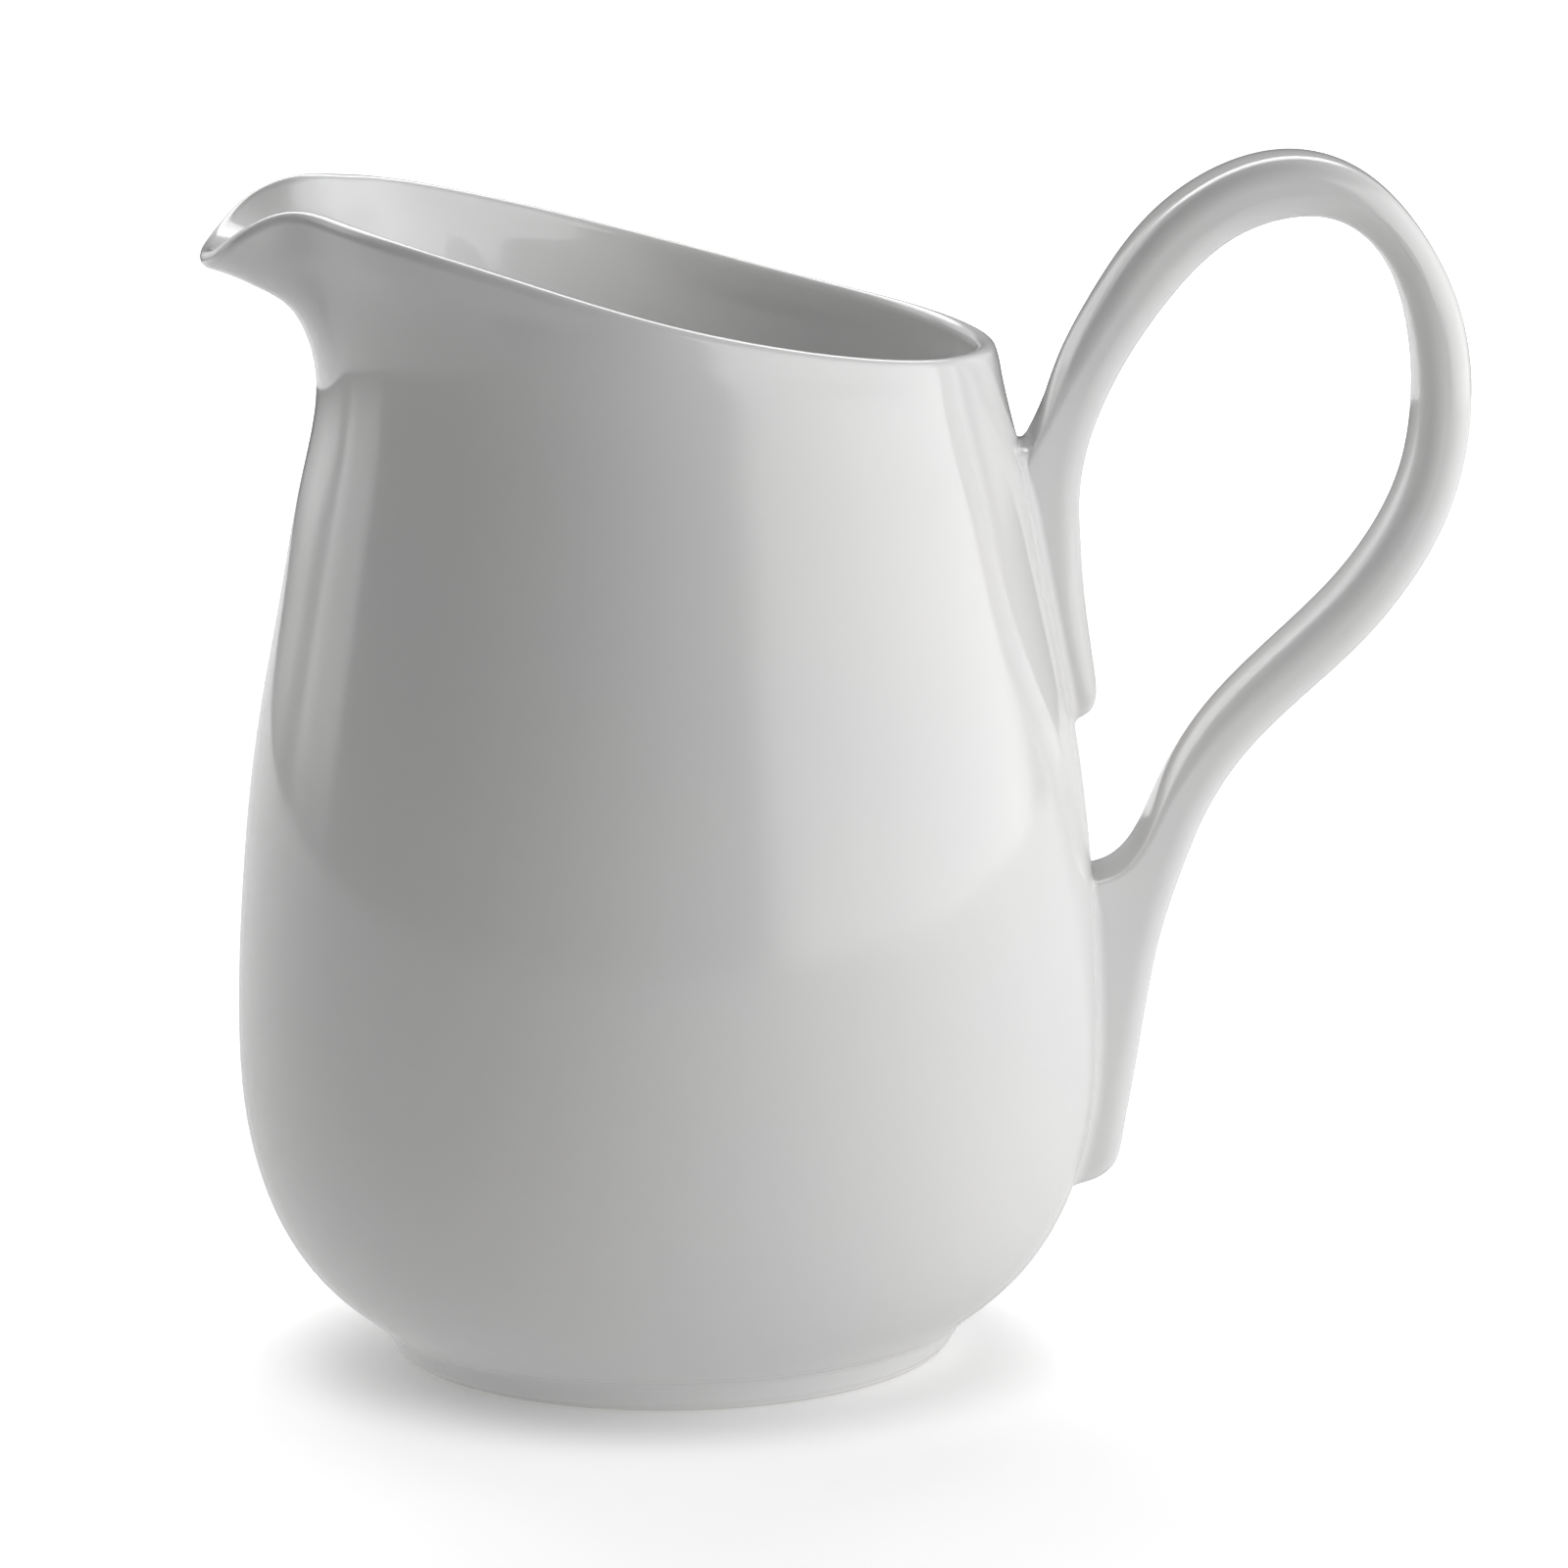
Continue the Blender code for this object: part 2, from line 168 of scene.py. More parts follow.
LOOP_INSIDE = (
    (63.3, 131.4, 3.0, 0.8),
    (64.0, 136.8, 3.0, 0.8),
    (65.6, 142.3, 3.0, 0.8),
    (68.7, 149.2, 3.1, 0.8),
    (73.0, 156.3, 3.1, 0.7),
    (79.2, 164.2, 3.2, 0.7),
    (87.2, 170.8, 3.2, 0.7),
    (96.6, 173.5, 3.2, 0.7),
    (104.4, 171.7, 3.2, 0.7),
    (110.3, 165.5, 3.2, 0.7),
    (113.4, 156.5, 3.2, 0.7),
    (114.3, 146.4, 3.2, 0.7),
    (113.1, 135.7, 3.2, 0.7),
    (109.2, 126.2, 3.2, 0.7),
    (102.4, 116.9, 3.2, 0.7),
    (93.1, 107.9, 3.0, 0.8),
    (84.2, 99.0, 2.4, 0.8),
    (77.9, 89.9, 1.5, 0.6),
    (74.5, 82.1, 0.9, 0.2),
    (71.9, 76.6, 0.8, 0.0),
    (68.8, 73.5, 0.7, 0.0),
    (65.8, 72.4, 0.7, 0.0),
    (63.3, 71.9, 0.7, 0.0),
)
LOWER_TONGUE = (
    (73.6, 53.1, 3.0, 0.7),
    (72.4, 46.0, 3.0, 0.7),
    (71.2, 39.0, 3.0, 0.7),
    (70.0, 32.7, 2.8, 0.6),
    (68.9, 28.2, 2.6, 0.4),
    (66.4, 25.6, 2.2, 0.2),
    (62.8, 24.5, 1.8, 0.0),
    (59.8, 24.1, 1.6, 0.0),
)
UPPER_TONGUE = (
    (60.8, 97.6, 1.4, 0.0),
    (62.6, 97.9, 1.4, 0.0),
    (64.5, 98.8, 1.5, 0.1),
    (65.6, 101.2, 2.0, 0.3),
    (65.4, 105.2, 2.4, 0.5),
    (64.5, 112.0, 2.8, 0.7),
    (63.8, 119.0, 3.0, 0.8),
    (63.4, 125.4, 3.0, 0.8),
)
STRAP_HALF_WIDTH = 8.0

# Behind each tongue the outline runs this deep under the body's wall, with this edge radius.
BURIED_DEPTH = 2.0
BURIED_EDGE = 0.3

# Radius of the cove of slip round each tongue: at its top, along its sides and at its bottom. A
# side's radius changes to the top's or the bottom's over the blend's length. The hidden back of
# the cove lies this deep under the body and the strap, and its corner this deep under both.
UPPER_COVE = (1.25, 1.6, 1.6)
LOWER_COVE = (0.8, 1.6, 1.8)
COVE_BLEND = 5.0
COVE_ROOT = 0.5
COVE_CORNER = (0.9, 0.7)

# Mesh density.
FOOT_SIDE_STEPS = 8
FOOT_EDGE_STEPS = 6
FOOTPRINT_STEPS = 60
STAGE_COLUMNS = 96
STAGE_BEND_STEPS = 12
WALL_LINE_STEPS = 1200
BODY_COLUMNS = 256
WALL_ROWS = 130
LIP_STEPS = 14
FLOOR_STEPS = 16
LOOP_STEPS = 300
TONGUE_STEPS = 60
CROSSING_STEPS = 50
FACE_STEPS = 5
EDGE_STEPS = 8
COVE_STEPS = 9

# Where the extra lines run over the strap's flat sides, from its outer edge to its inner one.
SIDE_SHARES = (0.1, 0.5, 0.9)

# Glaze and bare porcelain: colours, ranges of roughness, and the lengths and depths of their
# relief in millimetres. Noise fills the middle of its range, so that middle is what is used.
NOISE_RANGE = (0.3, 0.7)
GLAZE_IOR = 1.5
GLAZE_COOL = (0.795, 0.797, 0.800, 1.0)
GLAZE_WARM = (0.812, 0.808, 0.797, 1.0)
GLAZE_ROUGHNESS = (0.06, 0.10)
SMEAR_LENGTH = 14.0
POOL_LENGTH, POOL_DEPTH = 38.0, 0.05
RIPPLE_LENGTH, RIPPLE_DEPTH = 3.2, 0.004
PINHOLE_COLOUR = (0.62, 0.61, 0.59, 1.0)
PINHOLE_SPACING = 26.0
PINHOLE_RADIUS = 0.22
PINHOLE_DEPTH = 0.03
BISQUE_DARK = (0.74, 0.71, 0.66, 1.0)
BISQUE_LIGHT = (0.81, 0.79, 0.75, 1.0)
BISQUE_ROUGHNESS = (0.62, 0.85)
PATCH_LENGTH = 9.0
GRAIN_LENGTH, GRAIN_DEPTH = 0.6, 0.03

# Camera, from the body's axis: place in metres, then heading, pitch and roll in degrees.
CAMERA_PLACE = (-0.0405, -1.1560, 0.3249)
CAMERA_HEADING = 2.896
CAMERA_PITCH = -11.617
CAMERA_ROLL = -0.4624
CAMERA_LENS = 177.16
CAMERA_SENSOR = 36.0
CAMERA_REACH = 20.0

# Stage, in metres, and the light that its floor and wall give off: next to the foot, over the
# floor, and far away. The dimmer glow next to the foot paints a soft contact shadow round it.
# Each reach is where one starts to turn into the other and where it ends.
PAPER_WHITE = (0.88, 0.88, 0.88, 1.0)
PAPER_ROUGHNESS = 0.9
STAGE_RADIUS = 1.9
STAGE_BEND = 0.5
STAGE_HEIGHT = 2.2
# The first glow is painted shadow: the floor glows less next to the foot.
PAINTED_SHADOW_GLOW, FLOOR_GLOW, WALL_GLOW = 0.15, 0.46, 0.95
PAINTED_SHADOW_REACH = (0.046, 0.070)
WALL_GLOW_REACH = (0.35, 1.3)

# Hidden sheet just under the floor, in metres, which gives the jug the floor's light.
BOUNCE_WHITE = (0.6, 0.6, 0.6, 1.0)
BOUNCE_HEIGHT = -0.001
BOUNCE_RADIUS = 1.0
BOUNCE_GLOW = 0.29

# Area lights. Each looks at the jug's middle from a bearing round it (0 is towards the viewer and
# 90 is to the right), an elevation and a distance in metres, then width, height and power.
LIGHT_TARGET = (0.0, 0.0, 0.1)
LIGHTS = (
    ("right_softbox", 70, 12, 0.9, 2.4, 1.4, 13.5),
    ("back_right_card", 140, 12, 1.25, 0.9, 0.66, 0.7),
    ("left_card", -115, 22, 1.2, 0.6, 1.4, 1.9),
    ("back_left_card", -135, 22, 1.2, 0.9, 1.4, 1.07),
    ("far_left_card", -150, 22, 1.2, 0.9, 1.4, 2.04),
    ("high_left_softbox", -120, 45, 1.25, 1.5, 0.9, 2.1),
    ("high_back_softbox", 180, 45, 1.25, 1.5, 0.9, 10.4),
)
ROOM_LIGHT = 0.058

# A light fades over this share of its width and height at each edge. The gain for each of the
# two directions makes up for the light lost there.
LIGHT_EDGE = 0.22
LIGHT_GAIN = 1.28


# --- curves ---------------------------------------------------------------------------------


def bspline(control, where):
    """Points of a uniform cubic B-spline at parameters 0 to len(control) - 1. It starts at its
    first control point and ends at its last."""
    control = np.asarray(control, float)
    padded = np.concatenate(
        [2 * control[:1] - control[1:2], control, 2 * control[-1:] - control[-2:-1]]
    )
    where = np.asarray(where, float)
    first = np.clip(where.astype(int), 0, len(control) - 2)
    f = (where - first).reshape((-1,) + (1,) * (control.ndim - 1))
    weights = (
        (1 - f) ** 3,
        3 * f**3 - 6 * f**2 + 4,
        -3 * f**3 + 3 * f**2 + 3 * f + 1,
        f**3,
    )
    return sum(weight * padded[first + k] for k, weight in enumerate(weights)) / 6


def control_through(points):
    """Control points that take the B-spline through each given point."""
    points = np.asarray(points, float)
    count = len(points)
    matrix = (4 * np.eye(count) + np.eye(count, k=1) + np.eye(count, k=-1)) / 6
    matrix[0] = np.eye(count)[0]
    matrix[-1] = np.eye(count)[-1]
    return np.linalg.solve(matrix, points)


def closed_curve_through(points, where):
    """A closed smooth curve through the points, at parameters 0 to len(points)."""
    points = np.asarray(points, float)
    count = len(points)
    ring = np.roll(np.eye(count), 1, axis=1)
    control = np.linalg.solve((4 * np.eye(count) + ring + ring.T) / 6, points)
    lap = np.concatenate([control[-3:], control, control[:3]])
    return bspline(lap, np.asarray(where, float) + 3)


def even_series(values, where):
    """Values at evenly spaced stations, joined by cosines so that both ends are level. where
    runs from 0 to 1."""
    values = np.asarray(values, float)
    order = np.arange(len(values))
    stations = np.linspace(0, math.pi, len(values))
    weights = np.linalg.solve(np.cos(np.outer(stations, order)), values)
    return np.cos(np.outer(np.asarray(where) * math.pi, order)) @ weights


def unit(vectors):
    return vectors / np.linalg.norm(vectors, axis=-1, keepdims=True)


# --- meshes ---------------------------------------------------------------------------------


def add_piece(name, points, faces, materials, node):
    """Makes a smooth mesh piece from millimetres about the body's axis. It stands for a node."""
    points = (np.asarray(points, float) + (AXIS_X, 0, 0)) * MM
    mesh = bpy.data.meshes.new(name)
    mesh.from_pydata(points.tolist(), [], faces)
    mesh.validate()
    for material in materials:
        mesh.materials.append(material)
    mesh.shade_smooth()
    mesh.set_sharp_from_angle(angle=math.radians(40))
    piece = bpy.data.objects.new(name, mesh)
    bpy.context.scene.collection.objects.link(piece)
    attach(piece, "root")
    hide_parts(node)
    return piece


def ring_faces(rows, columns):
    """Quads over rows of a closed loop each, numbered row by row."""
    faces = []
    for row in range(rows - 1):
        for column in range(columns):
            after = (column + 1) % columns
            low, high = row * columns, (row + 1) * columns
            faces.append((low + column, low + after, high + after, high + column))
    return faces


def pole_faces(rows, columns):
    """Triangles from the first and the last row to two poles, numbered after all the rows."""
    pole = rows * columns
    last_row = pole - columns
    faces = []
    for column in range(columns):
        after = (column + 1) % columns
        faces.append((column, after, pole))
        faces.append((last_row + after, last_row + column, pole + 1))
    return faces


def arc_points(middle, radius, start, stop, steps):
    """Points along an arc of a profile, after its start and up to its stop, in degrees."""
    points = []
    for k in range(1, steps + 1):
        angle = math.radians(start + (stop - start) * k / steps)
        points.append((middle[0] + radius * math.cos(angle), middle[1] + radius * math.sin(angle)))
    return points


def turned_ring(profile, columns):
    """A solid ring turned from a closed profile (radius, height), listed anticlockwise."""
    angles = np.arange(columns) * 2 * math.pi / columns
    points = [
        (radius * math.cos(a), radius * math.sin(a), height)
        for a in angles
        for radius, height in profile
    ]
    count = len(profile)
    faces = []
    for column in range(columns):
        here, beside = column * count, (column + 1) % columns * count
        for k in range(count):
            after = (k + 1) % count
            faces.append((here + k, beside + k, beside + after, here + after))
    return points, faces


# --- body -----------------------------------------------------------------------------------


def lip_crest(where):
    """The crest of the lip at parameters 0 (spout) to 1 (handle side) and on to 2."""
    half = np.array(LIP)
    mirrored = half[-2:0:-1] * (1, -1, 1)
    return closed_curve_through(np.concatenate([half, mirrored]), where * (len(half) - 1))


def wall_columns(where):
    """Control points of the outer wall, as an array of rows by columns."""
    fold = np.where(where > 1, 2 - where, where)
    crest = lip_crest(where)
    step = 1e-4
    along = unit((lip_crest(where + step) - lip_crest(where - step))[:, :2])
    outward = np.stack([-along[:, 1], along[:, 0]], axis=1)
    outward *= np.sign((outward * crest[:, :2]).sum(axis=1, keepdims=True))
    slope, low_radius, high_radius, run = even_series(NECK, fold).T
    slope = np.radians(slope)
    rise = np.column_stack([outward * np.cos(slope)[:, None], np.sin(slope)])
    side = np.column_stack([outward * np.sin(slope)[:, None], -np.cos(slope)])
    end = crest + (side - rise) * LIP_THICKNESS / 2

    lip_azimuth = np.arctan2(np.abs(crest[:, 1]), -crest[:, 0])
    lip_azimuth = np.where(where > 1, 2 * math.pi - lip_azimuth, lip_azimuth)
    azimuth = (1 - COLUMN_TWIST) * lip_azimuth + COLUMN_TWIST * where * math.pi

    def at(angle, radius, height):
        return np.column_stack([-radius * np.cos(angle), radius * np.sin(angle), height])

    ones = np.ones(len(where))
    rows = [at(azimuth, radius * ones, height * ones) for radius, height in BELLY]
    shoulder = BELLY[-1][1]
    for fraction, radius in zip(NECK_HEIGHTS, (low_radius, high_radius)):
        turned = azimuth + (lip_azimuth - azimuth) * fraction
        rows.append(at(turned, radius, shoulder + fraction * (end[:, 2] - shoulder)))
    rows.append(end - rise * run[:, None])
    rows.append(end)
    return np.stack(rows)


def outer_wall(columns, rows):
    """Points of the outer wall, rows by columns, with the unit normals and upward tangents."""
    control = wall_columns(np.arange(columns) * 2 / columns)
    where = np.linspace(0, len(control) - 1, rows)
    points = bspline(control, where)
    step = 1e-3
    before = bspline(control, np.clip(where - step, 0, None))
    after = bspline(control, np.clip(where + step, None, len(control) - 1))
    upwards = after - before
    around = np.roll(points, -1, axis=1) - np.roll(points, 1, axis=1)
    return points, unit(np.cross(upwards, around)), unit(upwards)


def wall_line():
    """Radius and height of the outer wall down the handle side."""
    control = wall_columns(np.array([1.0]))
    line = bspline(control, np.linspace(0, len(control) - 1, WALL_LINE_STEPS))[:, 0]
    return line[:, 0], line[:, 2]


def wall_radius(z, wall):
    """The radius at a height of the wall, from its line."""
    radius, height = wall
    return np.interp(z, height, radius)


def wall_slope(z, wall):
    """How much the radius grows there for each millimetre of height."""
    return (wall_radius(z + 1, wall) - wall_radius(z - 1, wall)) / 2


def lip_arc(end, normal, upwards):
    """Rows of points over the rounded lip, from its outer edge to its inner edge."""
    radius = LIP_THICKNESS / 2
    middle = end - normal * radius
    rows = []
    for k in range(1, LIP_STEPS):
        angle = math.pi * k / LIP_STEPS
        rows.append(middle + radius * (normal * math.cos(angle) + upwards * math.sin(angle)))
    return rows


def inner_floor(start, direction):
    """Rows from the foot of the inner wall, through a fillet, to the rim of the flat floor."""
    outward = unit(start * (1, 1, 0))
    flat = outward * FLOOR_RADIUS + (0, 0, FLOOR_TOP)
    reach = np.linalg.norm(start - flat, axis=1, keepdims=True)
    rows = []
    for k in range(1, FLOOR_STEPS + 1):
        t = k / FLOOR_STEPS
        keep, leave = 2 * t**3 - 3 * t**2 + 1, t**3 - 2 * t**2 + t
        take, arrive = 3 * t**2 - 2 * t**3, t**3 - t**2
        bend = (leave * -direction - arrive * outward) * reach
        rows.append(keep * start + take * flat + bend)
    return rows


def make_body(glaze):
    """The body casting, as one closed mesh: underside, outer wall, lip, inner wall and floor."""
    points, normals, upwards = outer_wall(BODY_COLUMNS, WALL_ROWS)
    share = np.linspace(0, 1, WALL_ROWS)[:, None, None]
    thickness = BELLY_THICKNESS + (LIP_THICKNESS - BELLY_THICKNESS) * share
    inside = points - normals * thickness
    fillet_top = FLOOR_TOP + FILLET_RISE
    lowest = next(k for k in range(WALL_ROWS) if inside[k, :, 2].min() > fillet_top)

    outward = unit(points[0] * (1, 1, 0))
    rows = [outward * radius + (0, 0, FOOT_HEIGHT + rise) for radius, rise in UNDERSIDE]
    rows += list(points) + lip_arc(points[-1], normals[-1], upwards[-1])
    rows += list(inside[: lowest - 1 : -1])
    rows += inner_floor(inside[lowest], upwards[lowest])
    rows += [outward * radius + (0, 0, FLOOR_TOP) for radius in FLOOR_RINGS]
    poles = [(0, 0, FOOT_HEIGHT + RECESS_RISE), (0, 0, FLOOR_TOP)]
    faces = [face[::-1] for face in ring_faces(len(rows), BODY_COLUMNS)]
    faces += pole_faces(len(rows), BODY_COLUMNS)
    points = np.concatenate([np.stack(rows).reshape(-1, 3), poles])
    return add_piece("jug_body", points, faces, [glaze], "body_shell")


def crease_fillet(low):
    """Glaze that fills the crease between the foot ring and the body, as a curve from low."""
    low, corner, high = Vector(low), Vector(CREASE_CORNER), Vector(CREASE_END)
    points = []
    for k in range(1, FOOT_SIDE_STEPS + 1):
        t = k / FOOT_SIDE_STEPS
        points.append(tuple(low * (1 - t) ** 2 + corner * 2 * t * (1 - t) + high * t**2))
    return points


def foot_profile():
    """Section of the foot ring: the standing edge, the outer side, the crease, the top that is
    hidden in the body, and the inner side."""
    edge = FOOT_EDGE_RADIUS
    draft = (FOOT_TOP_RADIUS - FOOT_BOTTOM_RADIUS) / FOOT_HEIGHT
    standing = np.linspace(FOOT_INNER_RADIUS + edge, FOOT_BOTTOM_RADIUS - edge, 5)
    profile = [(radius, 0.0) for radius in standing]
    rounded = arc_points((FOOT_BOTTOM_RADIUS - edge, edge), edge, -90, 0, FOOT_EDGE_STEPS)
    for k, (radius, height) in enumerate(rounded, 1):
        profile.append((radius + draft * FOOT_EDGE_LEAN * k / FOOT_EDGE_STEPS, height))
    for height in np.linspace(edge, CREASE_LOW, FOOT_SIDE_STEPS + 1)[1:]:
        profile.append((FOOT_BOTTOM_RADIUS + draft * height, height))
    profile += crease_fillet(profile[-1])
    profile += FOOT_TOP
    for height in np.linspace(FOOT_INNER_TOP, edge, 6):
        profile.append((FOOT_INNER_RADIUS - FOOT_INNER_DRAFT * height, height))
    profile += arc_points((FOOT_INNER_RADIUS + edge, edge), edge, 180, 255, FOOT_EDGE_STEPS - 1)
    return profile


def make_foot(glaze, bisque):
    """The foot ring: glazed on its sides, wiped bare on the edge that it stands on."""
    points, faces = turned_ring(foot_profile(), BODY_COLUMNS)
    ring = add_piece("jug_foot", points, faces, [glaze, bisque], "foot_ring")
    for polygon in ring.data.polygons:
        if polygon.center.z < BARE_HEIGHT * MM:
            polygon.material_index = 1
    return ring


# --- handle ---------------------------------------------------------------------------------


def strap_outline(wall):
    """The strap's outline seen from the side, as two curves with the same number of points: one
    up the body under the upper tongue and round the outside of the loop, and one up the upper
    tongue's face, round the inside of the loop and down the body under the lower tongue. Each
    point is X, height, edge radius and crown, and lies across the strap from its partner."""

    def curve(points, first, last, steps):
        where = np.linspace(first, last, steps, endpoint=False)
        return bspline(control_through(points), where)

    def buried(start, stop, steps):
        z = np.linspace(start, stop, steps, endpoint=False)
        x = wall_radius(z, wall) - BURIED_DEPTH
        return np.column_stack([x, z, np.full(steps, BURIED_EDGE), np.zeros(steps)])

    outside = LOOP_OUTSIDE + LOWER_TONGUE
    inside = UPPER_TONGUE + LOOP_INSIDE
    loop = len(LOOP_OUTSIDE) - 1
    tongue = len(UPPER_TONGUE)
    outer = [
        buried(UPPER_TONGUE[0][1], LOOP_OUTSIDE[0][1], TONGUE_STEPS),
        curve(outside, 0, loop, LOOP_STEPS),
        curve(outside, loop, len(outside) - 1, TONGUE_STEPS),
    ]
    inner = [
        curve(inside, 0, tongue, TONGUE_STEPS),
        curve(inside, tongue, tongue + loop, LOOP_STEPS),
        buried(LOOP_INSIDE[-1][1], LOWER_TONGUE[-1][1], TONGUE_STEPS),
    ]
    return np.concatenate(outer), np.concatenate(inner)


def edge_levels():
    """The levels across the strap: how far each is along the face (0 to 1) and round the edge
    (0 to 1), from the middle to the side."""
    face = [(k / FACE_STEPS, 0.0) for k in range(FACE_STEPS)]
    edge = [(1.0, k / EDGE_STEPS) for k in range(EDGE_STEPS + 1)]
    return face + edge


def strap_lines(outer, inner):
    """Lines along the strap, one for each level from the middle to its side at +Y, as an array
    of levels by points by XYZ. Each runs along the outer curve and back along the inner one."""
    loop = np.concatenate([outer, inner[::-1]])
    flat = loop[:, :2]
    along = np.roll(flat, -1, axis=0) - np.roll(flat, 1, axis=0)
    normal = unit(np.column_stack([-along[:, 1], along[:, 0]]))
    radius, crown = loop[:, 2], loop[:, 3]
    lines = []
    for face, edge in edge_levels():
        angle = edge * math.pi / 2
        across = (STRAP_HALF_WIDTH - radius) * face + radius * math.sin(angle)
        inset = crown * (across / STRAP_HALF_WIDTH) ** 2 + radius * (1 - math.cos(angle))
        shifted = flat - normal * inset[:, None]
        lines.append(np.column_stack([shifted[:, 0], across, shifted[:, 1]]))
    return np.stack(lines)


def make_handle(glaze, lines):
    """The strap: its lines from one side to the other, and its two flat sides filled in with
    more lines between the outer curve and the inner one."""
    half = lines.shape[1] // 2
    mirrored = lines[:0:-1] * (1, -1, 1)
    rows = np.concatenate([mirrored, lines])
    count, columns = rows.shape[:2]
    points = [rows.reshape(-1, 3)]
    faces = ring_faces(count, columns)
    for side, first in ((rows[0], 0), (rows[-1], (count - 1) * columns)):
        strips = [first + np.arange(half)]
        for share in SIDE_SHARES:
            strips.append(sum(len(block) for block in points) + np.arange(half))
            points.append(side[:half] * (1 - share) + side[:half - 1 : -1] * share)
        strips.append(first + columns - 1 - np.arange(half))
        for low, high in zip(strips, strips[1:]):
            for k in range(half - 1):
                face = (low[k], low[k + 1], high[k + 1], high[k])
                faces.append(tuple(face[::-1] if first == 0 else face))
    faces = [tuple(int(index) for index in face) for face in faces]
    return add_piece("jug_handle", np.concatenate(points), faces, [glaze], "handle")


def crossing(line, wall):
    """Where a line that starts inside the body first comes out of it, and its direction there."""
    gap = np.hypot(line[:, 0], line[:, 1]) - wall_radius(line[:, 2], wall)
    k = next(i for i in range(len(line)) if gap[i] > 0)
    share = gap[k - 1] / (gap[k - 1] - gap[k])
    return line[k - 1] + (line[k] - line[k - 1]) * share, unit(line[k] - line[k - 1])


def ease(share):
    """A share, held at 0 or over, with a smooth start and end."""
    share = max(0.0, share)
    return share**2 * (3 - 2 * share)


def side_of_footprint(share, top, bottom, radii, wall):
    """A point of a footprint's side, from its top (share 0) to its bottom (share 1)."""
    high, low = top[0][2], bottom[0][2]
    z = high + (low - high) * share
    reach = wall_radius(z, wall)
    place = np.array([math.sqrt(reach**2 - STRAP_HALF_WIDTH**2), STRAP_HALF_WIDTH, z])
    out = unit(np.array([1.0, 0.0, -wall_slope(z, wall)]))
    near_top = ease(1 - (high - z) / COVE_BLEND)
    near_low = ease(1 - (z - low) / COVE_BLEND)
    away = out * (1 - near_top - near_low) + top[1] * near_top + bottom[1] * near_low
    size = radii[1] + (radii[0] - radii[1]) * near_top + (radii[2] - radii[1]) * near_low
    return place, unit(away), size


def footprint(top_lines, bottom_lines, radii, wall):
    """The loop where a tongue meets the body. Each point has its place, the direction up the
    strap's surface away from the body, and the cove's radius."""
    tops = [crossing(line, wall) for line in top_lines]
    bottoms = [crossing(line, wall) for line in bottom_lines]
    half = [(place, away, radii[0]) for place, away in tops]
    for k in range(1, FOOTPRINT_STEPS):
        share = k / FOOTPRINT_STEPS
        half.append(side_of_footprint(share, tops[-1], bottoms[-1], radii, wall))
    half += [(place, away, radii[2]) for place, away in reversed(bottoms)]
    flip = np.array([1, -1, 1])
    other = [(place * flip, away * flip, size) for place, away, size in half[-2:0:-1]]
    return half + other


def cove_section(place, away, size, along, wall):
    """A section of the cove: a concave arc from the strap to the body, and its hidden back."""
    slope = wall_slope(place[2], wall)
    normal = unit(np.array([place[0], place[1], -slope * math.hypot(place[0], place[1])]))
    outward = unit(np.cross(normal, along))
    opening = math.acos(float(np.clip(np.dot(away, outward), -0.99, 0.99)))
    reach = size / math.tan(opening / 2)
    turn = math.pi - opening
    pull = 4 / 3 * math.tan(turn / 4) / math.tan(turn / 2)
    on_strap = place + away * reach
    on_body = place + outward * reach
    on_body[:2] *= wall_radius(on_body[2], wall) / math.hypot(on_body[0], on_body[1])
    knots = (
        on_strap,
        on_strap + (place - on_strap) * pull,
        on_body + (place - on_body) * pull,
        on_body,
    )
    section = []
    for step in range(COVE_STEPS + 1):
        t = step / COVE_STEPS
        blend = ((1 - t) ** 3, 3 * t * (1 - t) ** 2, 3 * t**2 * (1 - t), t**3)
        section.append(sum(b * knot for b, knot in zip(blend, knots)))
    section.append(on_body - normal * COVE_ROOT)
    section.append(place - normal * COVE_CORNER[0] - outward * COVE_CORNER[1])
    section.append(on_strap - outward * COVE_ROOT)
    return section


def make_cove(name, node, glaze, loop, wall):
    """The slip's visible edge round a tongue: a concave bead tangent to the body and strap."""
    places = np.array([place for place, away, size in loop])
    directions = unit(np.roll(places, -1, axis=0) - np.roll(places, 1, axis=0))
    rows = []
    for (place, away, size), along in zip(loop, directions):
        rows.append(cove_section(place, away, size, along, wall))
    columns = len(rows[0])
    total = len(rows) * columns
    faces = []
    for face in ring_faces(len(rows) + 1, columns):
        faces.append(tuple(index % total for index in face))
    points = np.array(rows).reshape(-1, 3)
    return add_piece(name, points, faces, [glaze], node)


def make_coves(glaze, lines, wall):
    """The coves round both tongues, from the strap's lines that run out of the body there."""
    back = lines[:, ::-1]
    count = lines.shape[1] // 2
    turn = count - TONGUE_STEPS
    upper = footprint(
        lines[:, TONGUE_STEPS : TONGUE_STEPS + CROSSING_STEPS],
        back[:, :CROSSING_STEPS],
        UPPER_COVE,
        wall,
    )
    lower = footprint(
        back[:, turn - 1 : turn - CROSSING_STEPS : -1],
        lines[:, count - 1 : count - CROSSING_STEPS : -1],
        LOWER_COVE,
        wall,
    )
    make_cove("upper_cove", "upper_luting_slip", glaze, upper, wall)
    make_cove("lower_cove", "lower_luting_slip", glaze, lower, wall)


# --- materials ------------------------------------------------------------------------------

def noise_node(nodes, links, place, wavelength, detail):
    """Smooth noise of a wavelength in millimetres, as an output from 0 to 1."""
    noise = nodes.new("ShaderNodeTexNoise")
    noise.inputs["Scale"].default_value = 1 / (wavelength * MM)
    noise.inputs["Detail"].default_value = detail
    noise.inputs["Roughness"].default_value = 0.5
    links.new(place, noise.inputs["Vector"])
    return noise.outputs["Fac"]


